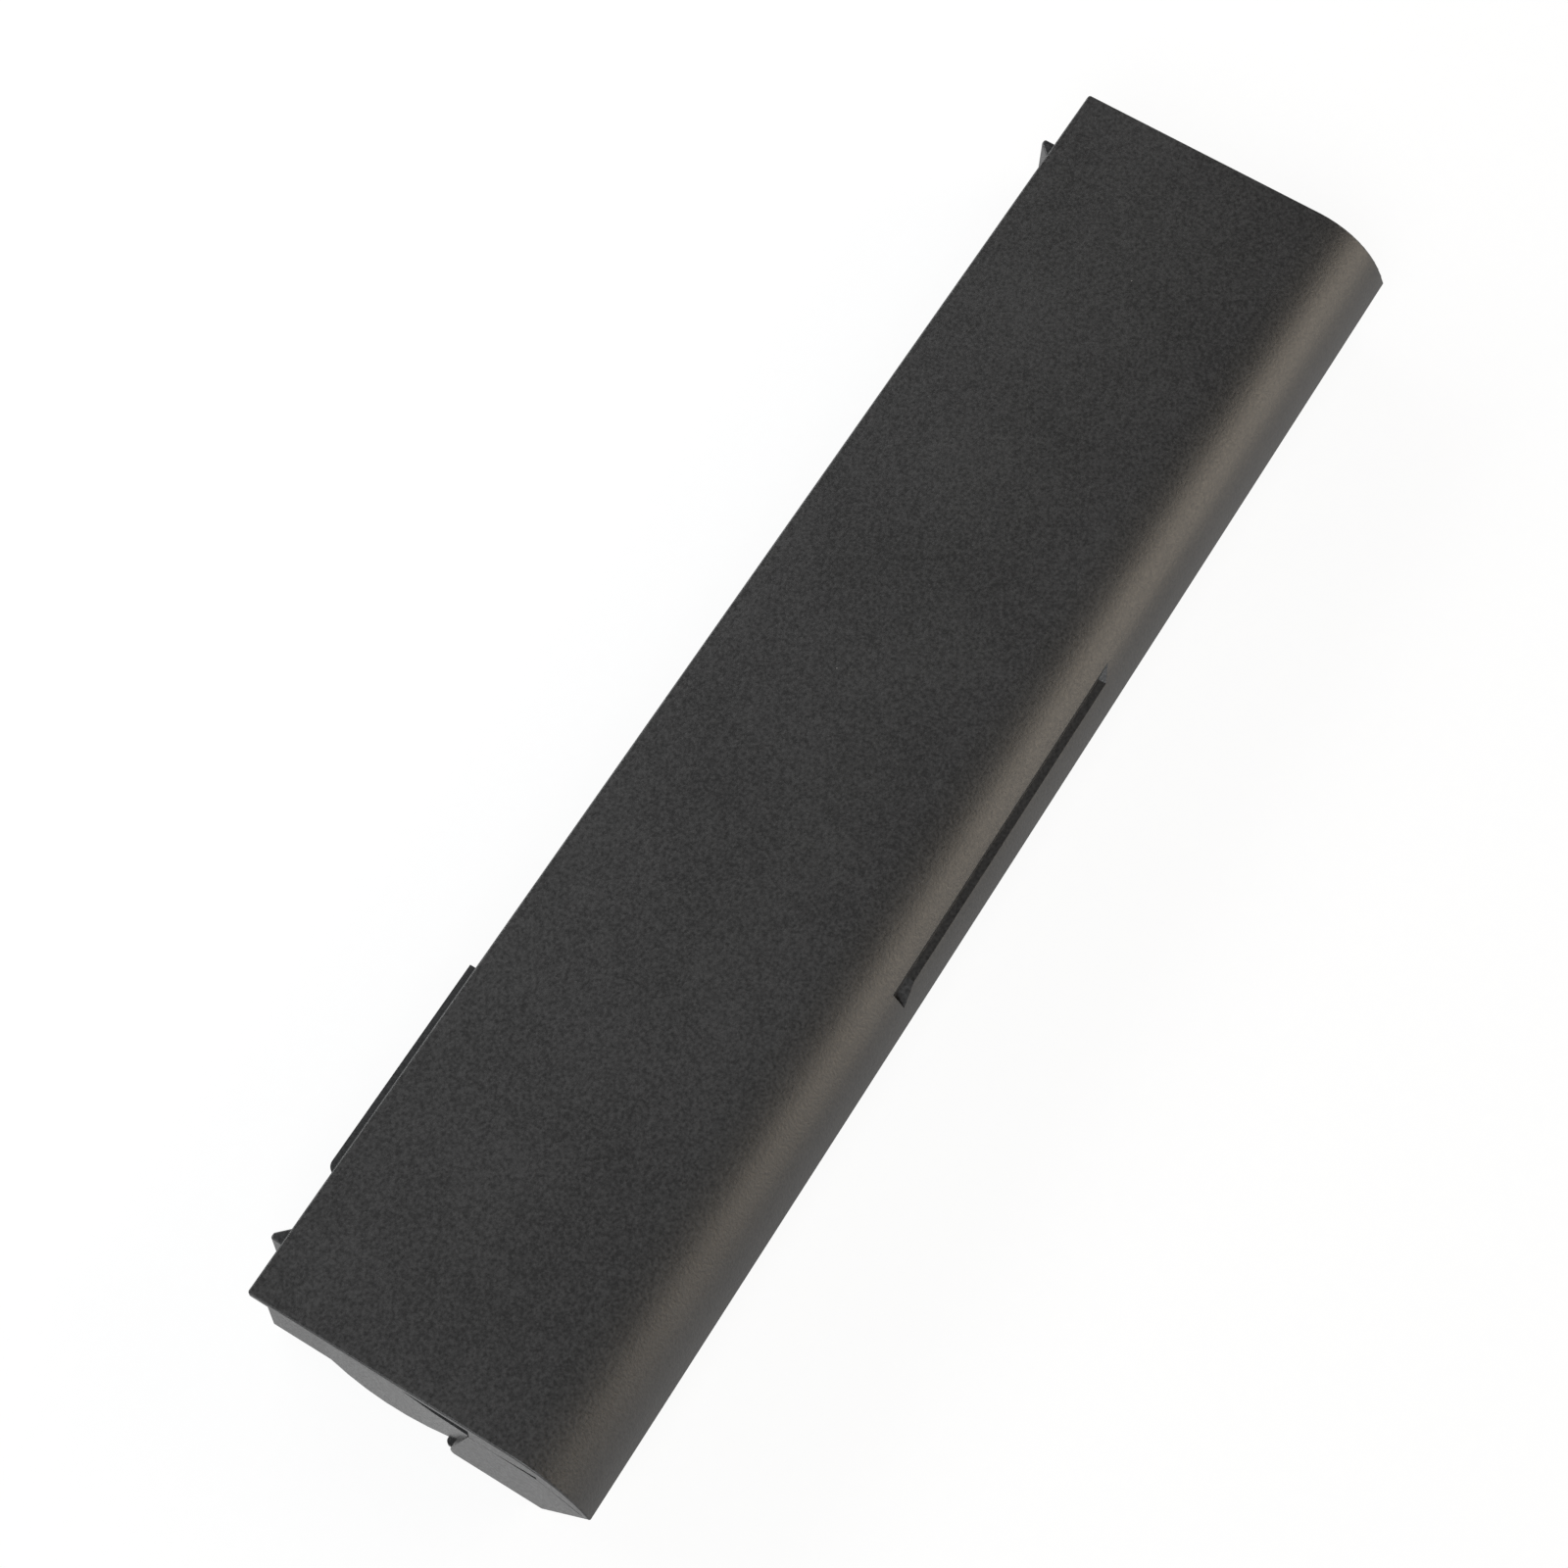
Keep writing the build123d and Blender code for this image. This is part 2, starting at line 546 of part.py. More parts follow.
    # Hooks for the wall of the laptop's bay: teeth with a square outer flank and a slanted inner one
    hook_root_y = WALL_OUT_Y - EDGE_WALL / 2
    hook_root_x = HOOK_X - HOOK_TIP_WIDTH - (HOOK_TIP_Y - hook_root_y) * tan(radians(HOOK_FLANK_ANGLE))
    for side in (-1, 1):
        with BuildSketch(Plane.XY.offset(HEIGHT - HOOK_TOP)):
            with BuildLine():
                FilletPolyline(
                    (side * HOOK_X, hook_root_y),
                    (side * HOOK_X, HOOK_TIP_Y),
                    (side * (HOOK_X - HOOK_TIP_WIDTH), HOOK_TIP_Y),
                    (side * hook_root_x, hook_root_y),
                    radius=[0, HOOK_TIP_ROUND, HOOK_TIP_ROUND, 0],
                    close=True,
                )
            make_face()
        extrude(amount=-HOOK_HEIGHT)
        hook_edges = bottom_shell.edges(Select.LAST)
        free_edges = hook_edges.filter_by_position(Axis.Y, WALL_OUT_Y + HOOK_EDGE, HOOK_TIP_Y)
        fillet(free_edges.group_by(Axis.Z)[-1], HOOK_EDGE)
    with BuildSketch(Plane.XY):
        with Locations((0, flat_middle_y)):
            RectangleRounded(label_length, label_width, LABEL_CORNER)
    extrude(amount=LABEL_RECESS, mode=Mode.SUBTRACT)
finish(bottom_shell, "bottom_shell")

with BuildPart() as rating_label:
    with BuildSketch(Plane.XY.offset(LABEL_RECESS - LABEL_THICKNESS)):
        with Locations((0, flat_middle_y)):
            RectangleRounded(label_length - 2 * LABEL_GAP, label_width - 2 * LABEL_GAP, LABEL_CORNER)
    extrude(amount=LABEL_THICKNESS)
finish(rating_label, "rating_label")

# Cells: sealed cans with a neck near the positive end and a raised cap
cell_places = [(x, y) for y in ROWS_Y for x in CELL_XS]
cell_end = CELL_LENGTH / 2
cell_shoulder = cell_end - CELL_CAP_RISE
neck = cell_end - CELL_NECK_FROM_END
for number, (cell_x, cell_y) in enumerate(cell_places, start=1):
    with BuildPart() as cell:
        with BuildSketch(Plane((cell_x, cell_y, CELL_Z), x_dir=(1, 0, 0), z_dir=(0, -1, 0))):
            with BuildLine():
                FilletPolyline(
                    (-cell_end, 0),
                    (-cell_end, CELL_RADIUS),
                    (neck - CELL_NECK_WIDTH / 2, CELL_RADIUS),
                    (neck, CELL_RADIUS - CELL_NECK_DEPTH),
                    (neck + CELL_NECK_WIDTH / 2, CELL_RADIUS),
                    (cell_shoulder, CELL_RADIUS),
                    (cell_shoulder, CELL_CAP_RADIUS),
                    (cell_end, CELL_CAP_RADIUS),
                    (cell_end, 0),
                    radius=[0, CELL_END_ROUND, 0, 0, 0, CELL_END_ROUND, 0, 0, 0],
                    close=True,
                )
            make_face()
        revolve(axis=Axis((cell_x, cell_y, CELL_Z), (1, 0, 0)))
    finish(cell, f"cell_{number}")

# Washers round the caps
with BuildPart() as cell_rings:
    for cell_x, cell_y in cell_places:
        with BuildSketch(Plane((cell_x + cell_shoulder, cell_y, CELL_Z), x_dir=(0, 1, 0), z_dir=(1, 0, 0))):
            Circle(RING_RADIUS)
            Circle(CELL_CAP_RADIUS + RING_BORE_CLEARANCE, mode=Mode.SUBTRACT)
        extrude(amount=CELL_CAP_RISE)
finish(cell_rings, "cell_rings")

# Nickel strips: flat on the ends of the cells, with tabs that turn along the face of the board
strip_end_y = OUTER_ROW_Y - STRIP_MARGIN
tab_y = BOARD_FACE_Y - STRIP_THICKNESS
with BuildPart() as strip_negative:
    strip(-ROW_HALF - STRIP_THICKNESS, -ROW_HALF, strip_end_y, BOARD_FACE_Y)
    strip(-ROW_HALF - STRIP_THICKNESS, BOARD_LEFT + TAB_LENGTH, tab_y, BOARD_FACE_Y)
finish(strip_negative, "strip_negative")

fold_y = INNER_ROW_Y + PAD_MARGIN + STRIP_FOLD_GAP
for number, gap_x in enumerate(GAP_XS, start=1):
    left = gap_x - SPACER_THICKNESS / 2 - STRIP_THICKNESS
    right = gap_x + SPACER_THICKNESS / 2 + STRIP_THICKNESS
    with BuildPart() as strip_mid:
        strip(left, left + STRIP_THICKNESS, strip_end_y, BOARD_FACE_Y)
        strip(right - STRIP_THICKNESS, right, strip_end_y, fold_y)
        strip(left, right, fold_y, fold_y + STRIP_THICKNESS)
        strip(left - TAB_LENGTH, left + STRIP_THICKNESS, tab_y, BOARD_FACE_Y)
    finish(strip_mid, f"strip_mid_{number}")

jog_x = BOARD_RIGHT - BOARD_END_GAP
with BuildPart() as strip_positive:
    strip(ROW_HALF, ROW_HALF + STRIP_THICKNESS, strip_end_y, INSULATOR_Y + STRIP_THICKNESS)
    strip(jog_x, ROW_HALF + STRIP_THICKNESS, INSULATOR_Y, INSULATOR_Y + STRIP_THICKNESS)
    strip(jog_x, jog_x + STRIP_THICKNESS, INSULATOR_Y, BOARD_FACE_Y)
    strip(jog_x - TAB_LENGTH, jog_x + STRIP_THICKNESS, tab_y, BOARD_FACE_Y)
finish(strip_positive, "strip_positive")

# Insulation between the cells and at the ends of the rows
with BuildPart() as gap_spacers:
    for gap_x in GAP_XS:
        pad(gap_x - SPACER_THICKNESS / 2, gap_x + SPACER_THICKNESS / 2)
finish(gap_spacers, "gap_spacers")

paper_x = ROW_HALF + STRIP_THICKNESS
with BuildPart() as end_papers:
    pad(paper_x, paper_x + PAPER_THICKNESS)
    pad(-paper_x - PAPER_THICKNESS, -paper_x)
finish(end_papers, "end_papers")

with BuildPart() as end_foams:
    pad(CAVITY_HALF - FOAM_THICKNESS, CAVITY_HALF)
    pad(-CAVITY_HALF, -CAVITY_HALF + FOAM_THICKNESS)
finish(end_foams, "end_foams")

insulator_half = CELL_LENGTH / 2 - INSULATOR_END_GAP
with BuildPart() as board_insulators:
    for cell_x in CELL_XS:
        box_between(
            (cell_x - insulator_half, CELL_SIDE_Y, CELL_Z - INSULATOR_BELOW),
            (cell_x + insulator_half, INSULATOR_Y, CELL_Z + INSULATOR_ABOVE),
        )
finish(board_insulators, "board_insulators")

# Board on edge, drilled for the tails of the contacts
with BuildPart() as circuit_board:
    box_between((BOARD_LEFT, BOARD_FACE_Y, BOARD_BOTTOM_Z), (BOARD_RIGHT, BOARD_BACK_Y, BOARD_TOP_Z))
    for x in CONTACT_XS:
        with Locations(Location((x, (BOARD_FACE_Y + BOARD_BACK_Y) / 2, CONNECTOR_Z), (90, 0, 0))):
            Cylinder(CONTACT_HOLE_RADIUS, BOARD_THICKNESS, mode=Mode.SUBTRACT)
finish(circuit_board, "circuit_board")

# Connector: slotted block through the wall, with a flange clamped between the wall and the board
half_length = CONNECTOR_LENGTH / 2
half_height = CONNECTOR_HEIGHT / 2
with BuildPart() as connector_housing:
    box_between(
        (CONNECTOR_X - half_length, BOARD_BACK_Y, CONNECTOR_Z - half_height),
        (CONNECTOR_X + half_length, CONNECTOR_FRONT_Y, CONNECTOR_Z + half_height),
    )
    front_corners = connector_housing.edges().filter_by(Axis.Z).group_by(Axis.Y)[-1]
    fillet(front_corners.sort_by(Axis.X)[0], CONNECTOR_CORNER)
    box_between(
        (CONNECTOR_X - half_length - FLANGE_MARGIN, BOARD_BACK_Y, CONNECTOR_Z - half_height - FLANGE_MARGIN),
        (CONNECTOR_X + half_length + FLANGE_MARGIN, WALL_IN_Y, CONNECTOR_Z + half_height + FLANGE_MARGIN),
    )
    for x in CONTACT_XS:
        box_between(
            (x - CONTACT_SLOT_WIDTH / 2, CONTACT_BASE_Y, CONNECTOR_Z - CONTACT_SLOT_HEIGHT / 2),
            (x + CONTACT_SLOT_WIDTH / 2, CONNECTOR_FRONT_Y, CONNECTOR_Z + CONTACT_SLOT_HEIGHT / 2),
            mode=Mode.SUBTRACT,
        )
        box_between(
            (x - CONTACT_TAIL / 2, BOARD_BACK_Y, CONNECTOR_Z - CONTACT_TAIL / 2),
            (x + CONTACT_TAIL / 2, CONTACT_BASE_Y, CONNECTOR_Z + CONTACT_TAIL / 2),
            mode=Mode.SUBTRACT,
        )
finish(connector_housing, "connector_housing")

# Contacts: a fork in each slot, with a tail through the board
with BuildPart() as connector_contacts:
    low_z = CONNECTOR_Z - CONTACT_HEIGHT / 2
    high_z = CONNECTOR_Z + CONTACT_HEIGHT / 2
    leaf_y = CONTACT_BASE_Y + CONTACT_LEAF_LENGTH
    for x in CONTACT_XS:
        left = x - CONTACT_SLOT_WIDTH / 2
        right = x + CONTACT_SLOT_WIDTH / 2
        box_between((left, CONTACT_BASE_Y, low_z), (right, CONTACT_BASE_Y + CONTACT_LEAF, high_z))
        box_between((left, CONTACT_BASE_Y, low_z), (left + CONTACT_LEAF, leaf_y, high_z))
        box_between((right - CONTACT_LEAF, CONTACT_BASE_Y, low_z), (right, leaf_y, high_z))
        box_between(
            (x - CONTACT_TAIL / 2, BOARD_FACE_Y - CONTACT_TAIL_STICK_OUT, CONNECTOR_Z - CONTACT_TAIL / 2),
            (x + CONTACT_TAIL / 2, CONTACT_BASE_Y, CONNECTOR_Z + CONTACT_TAIL / 2),
        )
finish(connector_contacts, "connector_contacts")

# Parts on the component face of the board
with BuildPart() as gauge_chip:
    on_board(CHIP_X, CELL_Z, CHIP_LENGTH, CHIP_WIDTH, CHIP_HEIGHT)
    lead_z = CHIP_WIDTH / 2 + CHIP_LEAD_REACH / 2
    for i in range(CHIP_LEADS):
        lead_x = CHIP_X + (i - (CHIP_LEADS - 1) / 2) * CHIP_LEAD_PITCH
        for side in (-1, 1):
            on_board(lead_x, CELL_Z + side * lead_z, CHIP_LEAD_WIDTH, CHIP_LEAD_REACH, CHIP_LEAD_HEIGHT)
finish(gauge_chip, "gauge_chip")

with BuildPart() as mosfets:
    for i in range(MOSFET_COUNT):
        mosfet_x = CHIP_X + MOSFET_FROM_CHIP + i * MOSFET_PITCH
        on_board(mosfet_x, CELL_Z, MOSFET_LENGTH, MOSFET_WIDTH, MOSFET_HEIGHT)
finish(mosfets, "mosfets")

with BuildPart() as fuse:
    on_board(GAP_XS[1] - FUSE_FROM_GAP, CELL_Z, FUSE_LENGTH, FUSE_WIDTH, FUSE_HEIGHT)
finish(fuse, "fuse")

with BuildPart() as shunt_resistor:
    on_board(GAP_XS[0] + SHUNT_FROM_GAP, CELL_Z, SHUNT_LENGTH, SHUNT_WIDTH, SHUNT_HEIGHT)
finish(shunt_resistor, "shunt_resistor")

with BuildPart() as capacitors:
    for i in range(CAPACITOR_ROW_COUNT):
        capacitor_x = CHIP_X + (i - (CAPACITOR_ROW_COUNT - 1) / 2) * CAPACITOR_ROW_PITCH
        for side in (-1, 1):
            capacitor_z = CELL_Z + side * CAPACITOR_ROW_OFFSET
            on_board(capacitor_x, capacitor_z, CAPACITOR_LENGTH, CAPACITOR_WIDTH, CAPACITOR_HEIGHT)
finish(capacitors, "capacitors")

# Thermistor: a bead against a cell of the inner row, with two leads to the board
bead_distance = CELL_RADIUS + BEAD_RADIUS + SEAT_CLEARANCE
bead_y = INNER_ROW_Y + bead_distance * cos(radians(BEAD_ANGLE))
bead_z = CELL_Z + bead_distance * sin(radians(BEAD_ANGLE))
with BuildPart() as thermistor:
    with Locations(Location((BEAD_X, bead_y, bead_z), (0, 90, 0))):
        Cylinder(BEAD_RADIUS, BEAD_LENGTH)
    fillet(thermistor.edges().filter_by(GeomType.CIRCLE), BEAD_RADIUS / 2)
    for side in (-1, 1):
        with BuildSketch(Plane.XZ.offset(-bead_y)):
            with Locations((BEAD_X + side * LEAD_PITCH / 2, bead_z)):
                Circle(LEAD_RADIUS)
        extrude(amount=-(BOARD_FACE_Y - bead_y))
finish(thermistor, "thermistor")
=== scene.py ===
from math import radians

import bpy
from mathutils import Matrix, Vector

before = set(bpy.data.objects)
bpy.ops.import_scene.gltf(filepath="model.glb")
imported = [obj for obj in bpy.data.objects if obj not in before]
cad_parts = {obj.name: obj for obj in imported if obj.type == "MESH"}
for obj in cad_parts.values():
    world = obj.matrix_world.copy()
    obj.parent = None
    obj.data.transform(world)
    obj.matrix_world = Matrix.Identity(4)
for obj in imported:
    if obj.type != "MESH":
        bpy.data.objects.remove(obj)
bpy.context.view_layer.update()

# Looks of the laptop battery: procedural materials for every piece, a white studio, and the photograph's
# camera. Sizes in metres, colours linear.

# Camera fitted to the photograph, which is square
CAMERA_PLACE = (-0.17899, -0.08730, 0.43477)
CAMERA_TURN = (24.651, -1.378, -58.493)
CAMERA_LENS = 80.75
CAMERA_SENSOR = 36.0

# Stage: white floor and walls under a dark ceiling. Walls and ceiling go by the height of the direction
FLOOR_HALF = 4.0
FLOOR_DROP = 0.0003
FLOOR_DARK = (0.86, 0.86, 0.86, 1.0)
FLOOR_LIGHT = (0.9, 0.9, 0.9, 1.0)
FLOOR_FIBRE = 0.002
FLOOR_GLOW = 0.9
WALL_COLOUR = (1.0, 0.975, 0.93, 1.0)
WALL_TOP = 0.02
CEILING_COLOUR = (0.02, 0.021, 0.023, 1.0)
CEILING_FROM = 0.5

# Lamps: name, where it stands, size, power and colour. All of them face the part
LAMPS = (
    ("key_softbox", (-1.1, -0.3, 1.1), (0.80, 0.80), 20.0, (0.96, 0.98, 1.0)),
    ("side_softbox", (0.42, -0.68, 0.41), (0.60, 0.50), 4.5, (1.0, 0.87, 0.71)),
    ("back_strip", (0.04, 0.26, 0.17), (0.50, 0.08), 1.0, (0.97, 0.99, 1.0)),
)

# Casing: black moulded plastic, with a few flecks of dust
CASING_DARK = (0.0171, 0.0171, 0.0174, 1.0)
CASING_LIGHT = (0.0324, 0.0324, 0.033, 1.0)
CASING_STOPS = (0.37, 0.63)
CASING_ROUGHNESS = (0.36, 0.51)
GRAIN_SIZE = 0.00042
GRAIN_DEPTH = 0.000045
MOTTLE_SIZE = 0.02
MOTTLE_SHARE = 0.3
EDGE_RADIUS = 0.00008
EDGE_SAMPLES = 6
FLECK_SPACING = 0.006
FLECK_RADIUS = 0.00009
FLECK_KEPT = 0.35
FLECK_COLOUR = (0.16, 0.155, 0.15, 1.0)

# Patterns of the other materials: size, depth of the relief, and roughness where all pieces share it
RESIN_GRAIN, RESIN_DEPTH = 0.0004, 0.00001
RESIN_EDGE = EDGE_RADIUS / 2
METAL_LINE, METAL_DEPTH = 0.0004, 0.000005
METAL_STOPS = (0.3, 0.7)
PAPER_FIBRE, PAPER_CLOUD, PAPER_DEPTH = 0.0006, 0.003, 0.00002
PAPER_STRETCH = (0.2, 1.0, 1.0)
PAPER_ROUGHNESS = 0.85
FILM_GRAIN, FILM_GRAIN_DEPTH = 0.00025, 0.000004
FILM_WAVE, FILM_WAVE_DEPTH = 0.012, 0.00006
SLEEVE_WRINKLE, SLEEVE_DEPTH = 0.004, 0.00004
SLEEVE_STRETCH = (0.3, 1.0, 1.0)
SLEEVE_ROUGHNESS = (0.25, 0.4)
SLEEVE_BARE_FROM = 0.8
FOAM_PORE, FOAM_DEPTH = 0.0007, 0.0002
FOAM_STOPS = (0.1, 0.6)
FOAM_ROUGHNESS = 0.95
TRACK_SCALE, TRACK_BEND, TRACK_BEND_SCALE, TRACK_DEPTH = 260.0, 6.0, 0.4, 0.00003
TRACK_STOPS = (0.55, 0.65)
BOARD_ROUGHNESS = (0.3, 0.45)
BOARD_COAT = 0.4
BOARD_EDGE_BELOW = 0.5


def wire(tree, value, socket):
    """Links an output to the socket, or sets the socket's own value."""
    if isinstance(value, bpy.types.NodeSocket):
        tree.links.new(value, socket)
    else:
        socket.default_value = value


def add(tree, kind, inputs, **settings):
    """Adds a node with its settings, and wires its inputs."""
    node = tree.nodes.new("ShaderNode" + kind)
    for key, value in settings.items():
        setattr(node, key, value)
    for key, value in inputs.items():
        wire(tree, value, node.inputs[key])
    return node


def new_material(name):
    """Material with a plain shader: the material, its tree and the shader's sockets."""
    material = bpy.data.materials.new(name)
    material.use_nodes = True
    tree = material.node_tree
    return material, tree, tree.nodes["Principled BSDF"].inputs


def place(tree, stretch=(1.0, 1.0, 1.0)):
    """Place in the part's own frame, stretched along its axes."""
    spot = add(tree, "TexCoord", {}).outputs["Object"]
    return add(tree, "Mapping", {"Vector": spot, "Scale": stretch}).outputs["Vector"]


def noise(tree, size, detail=2.0, stretch=(1.0, 1.0, 1.0)):
    """Noise with features of about this size."""
    inputs = {"Vector": place(tree, stretch), "Scale": 1.0 / size, "Detail": detail}
    return add(tree, "TexNoise", inputs).outputs["Fac"]


def cells(tree, size):
    """Cell pattern of about this size: its outputs, for the distance and the colour of each cell."""
    return add(tree, "TexVoronoi", {"Vector": place(tree), "Scale": 1.0 / size}).outputs


def calc(tree, operation, first, second):
    """One sum of two patterns or numbers."""
    return add(tree, "Math", {0: first, 1: second}, operation=operation).outputs["Value"]


def facing(tree, axis):
    """How far the surface faces along the axis, either way: 1 is square on."""
    normal = add(tree, "NewGeometry", {}).outputs["Normal"]
    along = add(tree, "SeparateXYZ", {"Vector": normal}).outputs[axis]
    return calc(tree, "ABSOLUTE", along, 0.0)


def mixed(tree, share, first, second):
    """Mixes two patterns."""
    return add(tree, "Mix", {0: share, 2: first, 3: second}, data_type="FLOAT").outputs[0]


def over(tree, mask, under, upper):
    """Lays one colour over another where the mask is 1."""
    return add(tree, "Mix", {0: mask, 6: under, 7: upper}, data_type="RGBA").outputs[2]


def spread(tree, value, limits, start=0.3, end=0.7):
    """Maps the part of a pattern between start and end to these limits."""
    inputs = {"Value": value, "From Min": start, "From Max": end, "To Min": limits[0], "To Max": limits[1]}
    return add(tree, "MapRange", inputs).outputs["Result"]


def ramp(tree, value, first, last, stops=(0.35, 0.65)):
    """Colours a pattern from the first colour to the last between the two stops."""
    node = add(tree, "ValToRGB", {"Fac": value})
    for element, position, colour in zip(node.color_ramp.elements, stops, (first, last)):
        element.position = position
        element.color = colour
    return node.outputs["Color"]


def bump(tree, height, depth, **inputs):
    """Normal of a relief this deep."""
    inputs.update(Height=height, Strength=1.0, Distance=depth)
    return add(tree, "Bump", inputs).outputs["Normal"]


def soft_edges(tree, radius):
    """Normal with the edges rounded by this radius."""
    return add(tree, "Bevel", {"Radius": radius}, samples=EDGE_SAMPLES).outputs["Normal"]


def dust(tree):
    """Mask of a few tiny flecks of dust."""
    pattern = cells(tree, FLECK_SPACING)
    near = calc(tree, "LESS_THAN", pattern["Distance"], FLECK_RADIUS / FLECK_SPACING)
    chance = add(tree, "SeparateColor", {"Color": pattern["Color"]}).outputs["Red"]
    return calc(tree, "MULTIPLY", near, calc(tree, "LESS_THAN", chance, FLECK_KEPT))


def casing(name):
    """Black moulded plastic with a fine eroded grain, soft edges and a little dust."""
    material, tree, sockets = new_material(name)
    grain = noise(tree, GRAIN_SIZE, 3.0)
    pattern = mixed(tree, MOTTLE_SHARE, grain, noise(tree, MOTTLE_SIZE, 3.0))
    colour = ramp(tree, pattern, CASING_DARK, CASING_LIGHT, CASING_STOPS)
    wire(tree, over(tree, dust(tree), colour, FLECK_COLOUR), sockets["Base Color"])
    wire(tree, spread(tree, grain, CASING_ROUGHNESS), sockets["Roughness"])
    relief = bump(tree, grain, GRAIN_DEPTH, Normal=soft_edges(tree, EDGE_RADIUS))
    wire(tree, relief, sockets["Normal"])
    return material


def resin(name, dark, light, roughness):
    """Moulded resin or fired ceramic, with a fine grain and soft edges."""
    material, tree, sockets = new_material(name)
    grain = noise(tree, RESIN_GRAIN, 3.0)
    wire(tree, ramp(tree, grain, dark, light), sockets["Base Color"])
    wire(tree, spread(tree, grain, roughness), sockets["Roughness"])
    relief = bump(tree, grain, RESIN_DEPTH, Normal=soft_edges(tree, RESIN_EDGE))
    wire(tree, relief, sockets["Normal"])
    return material


def metal(name, dark, light, roughness, stretch):
    """Rolled metal, with fine lines along one axis."""
    material, tree, sockets = new_material(name)
    sockets["Metallic"].default_value = 1.0
    lines = noise(tree, METAL_LINE, 3.0, stretch)
    wire(tree, ramp(tree, lines, dark, light, METAL_STOPS), sockets["Base Color"])
    wire(tree, spread(tree, lines, roughness), sockets["Roughness"])
    wire(tree, bump(tree, lines, METAL_DEPTH), sockets["Normal"])
    return material


def paper(name, dark, light):
    """Pressed paper with long fibres."""
    material, tree, sockets = new_material(name)
    sockets["Roughness"].default_value = PAPER_ROUGHNESS
    fibres = mixed(tree, 0.5, noise(tree, PAPER_FIBRE, 4.0, PAPER_STRETCH), noise(tree, PAPER_CLOUD))
    wire(tree, ramp(tree, fibres, dark, light), sockets["Base Color"])
    wire(tree, bump(tree, fibres, PAPER_DEPTH), sockets["Normal"])
    return material


def film(name, dark, light, roughness):
    """Plastic film, left blank: slightly wavy, with a fine satin grain."""
    material, tree, sockets = new_material(name)
    grain = noise(tree, FILM_GRAIN)
    waves = noise(tree, FILM_WAVE, 1.0)
    wire(tree, ramp(tree, mixed(tree, 0.5, grain, waves), dark, light), sockets["Base Color"])
    wire(tree, spread(tree, grain, roughness), sockets["Roughness"])
    relief = bump(tree, grain, FILM_GRAIN_DEPTH, Normal=bump(tree, waves, FILM_WAVE_DEPTH))
    wire(tree, relief, sockets["Normal"])
    return material


def sleeve(name, dark, light, steel):
    """Shrink sleeve of a cell, with bare steel at its two ends."""
    material, tree, sockets = new_material(name)
    bare = calc(tree, "GREATER_THAN", facing(tree, "X"), SLEEVE_BARE_FROM)
    wrinkles = noise(tree, SLEEVE_WRINKLE, 3.0, SLEEVE_STRETCH)
    wire(tree, over(tree, bare, ramp(tree, wrinkles, dark, light), steel), sockets["Base Color"])
    wire(tree, bare, sockets["Metallic"])
    wire(tree, spread(tree, wrinkles, SLEEVE_ROUGHNESS), sockets["Roughness"])
    wire(tree, bump(tree, wrinkles, SLEEVE_DEPTH), sockets["Normal"])
    return material


def foam(name, dark, light):
    """Soft foam with open pores."""
    material, tree, sockets = new_material(name)
    sockets["Roughness"].default_value = FOAM_ROUGHNESS
    pores = cells(tree, FOAM_PORE)["Distance"]
    wire(tree, ramp(tree, pores, dark, light, FOAM_STOPS), sockets["Base Color"])
    wire(tree, bump(tree, pores, FOAM_DEPTH), sockets["Normal"])
    return material


def board(name, mask, track, edge):
    """Circuit board: coloured lacquer over faint tracks, with bare laminate at the edges."""
    material, tree, sockets = new_material(name)
    sockets["Coat Weight"].default_value = BOARD_COAT
    wave = {"Vector": place(tree), "Scale": TRACK_SCALE, "Distortion": TRACK_BEND}
    wave.update({"Detail": 1.0, "Detail Scale": TRACK_BEND_SCALE})
    tracks = add(tree, "TexWave", wave, bands_direction="Z").outputs["Fac"]
    side = calc(tree, "LESS_THAN", facing(tree, "Y"), BOARD_EDGE_BELOW)
    lacquer = ramp(tree, tracks, mask, track, TRACK_STOPS)
    wire(tree, over(tree, side, lacquer, edge), sockets["Base Color"])
    wire(tree, spread(tree, tracks, BOARD_ROUGHNESS), sockets["Roughness"])
    wire(tree, bump(tree, tracks, TRACK_DEPTH), sockets["Normal"])
    return material


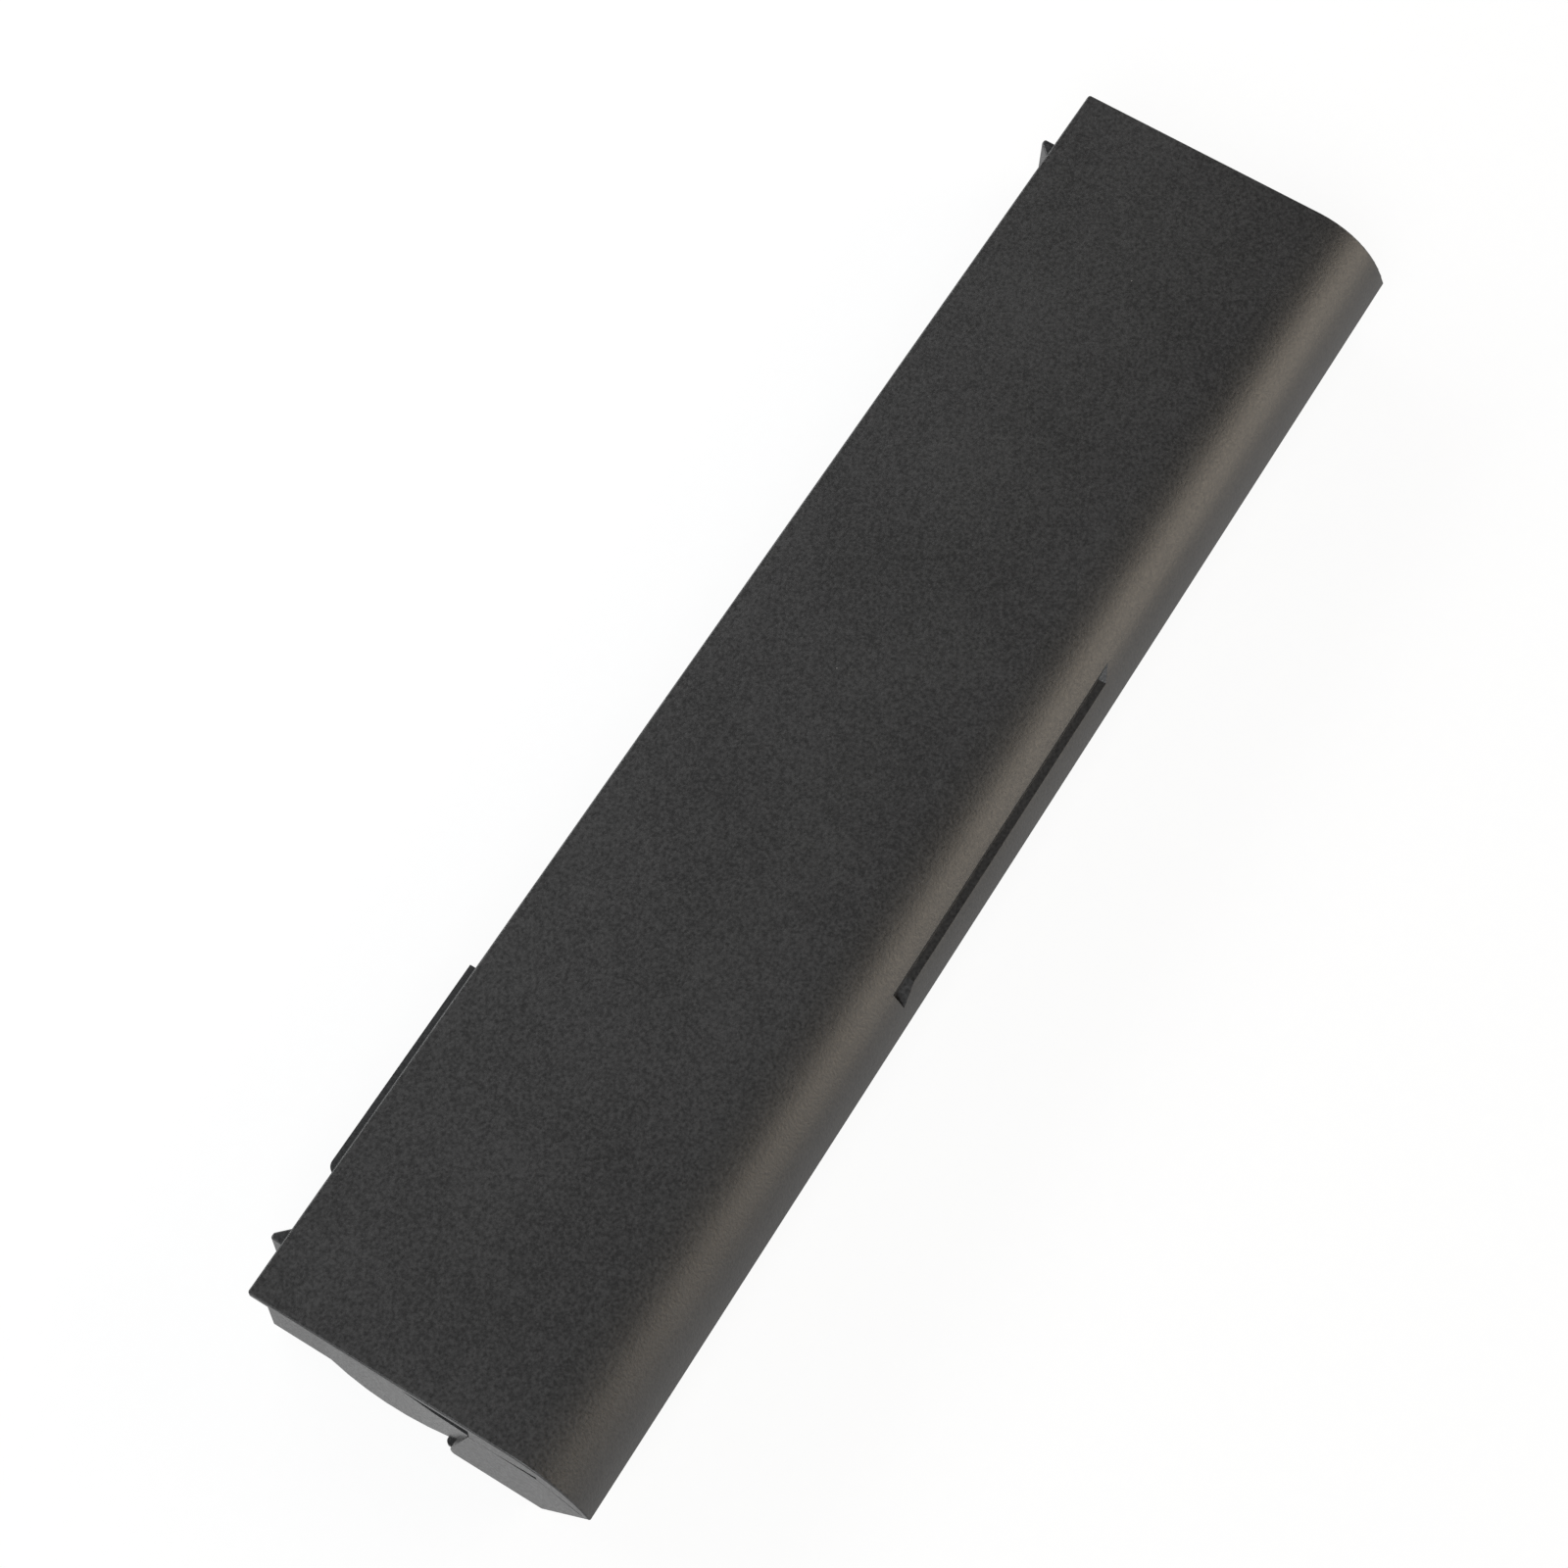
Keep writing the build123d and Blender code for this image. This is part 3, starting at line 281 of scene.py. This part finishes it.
# Material of each of the record's slots: what makes it, its name, its colours, and for some the limits of its
# roughness and the stretch of its lines
LOOKS = {
    "cover_plastic": (casing, "cover_look"),
    "shell_plastic": (casing, "shell_look"),
    "label_film": (film, "label_look", (0.56, 0.56, 0.54, 1), (0.66, 0.66, 0.64, 1), (0.3, 0.4)),
    "connector_plastic": (
        resin, "connector_look", (0.017, 0.017, 0.0175, 1), (0.028, 0.028, 0.0285, 1), (0.4, 0.5)),
    "contact_metal": (
        metal, "contact_look", (0.68, 0.45, 0.16, 1), (0.85, 0.6, 0.25, 1), (0.22, 0.34), (1, 0.2, 1)),
    "cell_sleeve": (
        sleeve, "cell_look", (0.08, 0.28, 0.37, 1), (0.12, 0.36, 0.47, 1), (0.55, 0.54, 0.52, 1)),
    "white_paper": (paper, "washer_look", (0.8, 0.79, 0.75, 1), (0.9, 0.89, 0.85, 1)),
    "nickel": (
        metal, "strip_look", (0.5, 0.47, 0.42, 1), (0.66, 0.63, 0.58, 1), (0.25, 0.4), (1, 0.1, 1)),
    "insulating_paper": (paper, "insulator_look", (0.5, 0.57, 0.43, 1), (0.6, 0.67, 0.53, 1)),
    "foam": (foam, "foam_look", (0.08, 0.08, 0.08, 1), (0.16, 0.16, 0.16, 1)),
    "board_laminate": (
        board, "board_look", (0.01, 0.1, 0.04, 1), (0.03, 0.2, 0.08, 1), (0.35, 0.32, 0.18, 1)),
    "chip_plastic": (resin, "chip_look", (0.012, 0.012, 0.013, 1), (0.025, 0.025, 0.027, 1), (0.4, 0.55)),
    "fuse_ceramic": (resin, "fuse_look", (0.74, 0.72, 0.66, 1), (0.86, 0.84, 0.78, 1), (0.3, 0.45)),
    "capacitor_ceramic": (
        resin, "capacitor_look", (0.46, 0.33, 0.2, 1), (0.58, 0.43, 0.28, 1), (0.35, 0.5)),
    "bead_epoxy": (resin, "bead_look", (0.015, 0.02, 0.06, 1), (0.03, 0.035, 0.09, 1), (0.12, 0.22)),
}


def dress():
    """Gives each CAD node the material of its slot."""
    looks = {slot: make(*values) for slot, (make, *values) in LOOKS.items()}
    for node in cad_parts.values():
        for slot in node.material_slots:
            slot.material = looks[slot.material.name]


def add_camera():
    """Camera at the photograph's viewing angle."""
    data = bpy.data.cameras.new("camera")
    data.sensor_width = CAMERA_SENSOR
    data.lens = CAMERA_LENS
    camera = bpy.data.objects.new("camera", data)
    camera.location = CAMERA_PLACE
    camera.rotation_euler = [radians(angle) for angle in CAMERA_TURN]
    bpy.context.scene.collection.objects.link(camera)
    bpy.context.scene.camera = camera


def add_lamp(name, spot, size, power, colour):
    """Soft lamp that faces the part."""
    data = bpy.data.lights.new(name, "AREA")
    data.shape = "RECTANGLE"
    data.size, data.size_y = size
    data.energy = power
    data.color = colour
    lamp = bpy.data.objects.new(name, data)
    lamp.location = spot
    lamp.rotation_euler = Vector(spot).to_track_quat("Z", "Y").to_euler()
    bpy.context.scene.collection.objects.link(lamp)


def add_world():
    """Bright walls under a dark ceiling."""
    world = bpy.data.worlds.new("studio")
    world.use_nodes = True
    bpy.context.scene.world = world
    tree = world.node_tree
    direction = add(tree, "TexCoord", {}).outputs["Generated"]
    height = add(tree, "SeparateXYZ", {"Vector": direction}).outputs["Z"]
    colour = ramp(tree, height, WALL_COLOUR, CEILING_COLOUR, (WALL_TOP, CEILING_FROM))
    wire(tree, colour, tree.nodes["Background"].inputs["Color"])


def floor_look():
    """White paper that keeps the shadow, and glows to white for the camera and in reflections."""
    material, tree, _ = new_material("floor_look")
    tree.nodes.remove(tree.nodes["Principled BSDF"])
    fibres = ramp(tree, noise(tree, FLOOR_FIBRE), FLOOR_DARK, FLOOR_LIGHT, (0.3, 0.7))
    sheet = add(tree, "BsdfDiffuse", {"Color": fibres}).outputs["BSDF"]
    glow = add(tree, "Emission", {"Strength": 1.0}).outputs["Emission"]
    path = add(tree, "LightPath", {}).outputs
    seen = calc(tree, "MAXIMUM", path["Is Camera Ray"], path["Is Glossy Ray"])
    seen = calc(tree, "MAXIMUM", seen, path["Is Transmission Ray"])
    share = calc(tree, "MULTIPLY", seen, FLOOR_GLOW)
    surface = add(tree, "MixShader", {0: share, 1: sheet, 2: glow}).outputs["Shader"]
    wire(tree, surface, tree.nodes["Material Output"].inputs["Surface"])
    return material


def add_floor():
    """Plain white floor just under the part."""
    mesh = bpy.data.meshes.new("floor")
    signs = ((-1, -1), (1, -1), (1, 1), (-1, 1))
    corners = [(x * FLOOR_HALF, y * FLOOR_HALF, -FLOOR_DROP) for x, y in signs]
    mesh.from_pydata(corners, [], [(0, 1, 2, 3)])
    mesh.materials.append(floor_look())
    floor = bpy.data.objects.new("floor", mesh)
    bpy.context.scene.collection.objects.link(floor)


bpy.context.scene.view_settings.view_transform = "Standard"
dress()
add_camera()
for lamp in LAMPS:
    add_lamp(*lamp)
add_world()
add_floor()
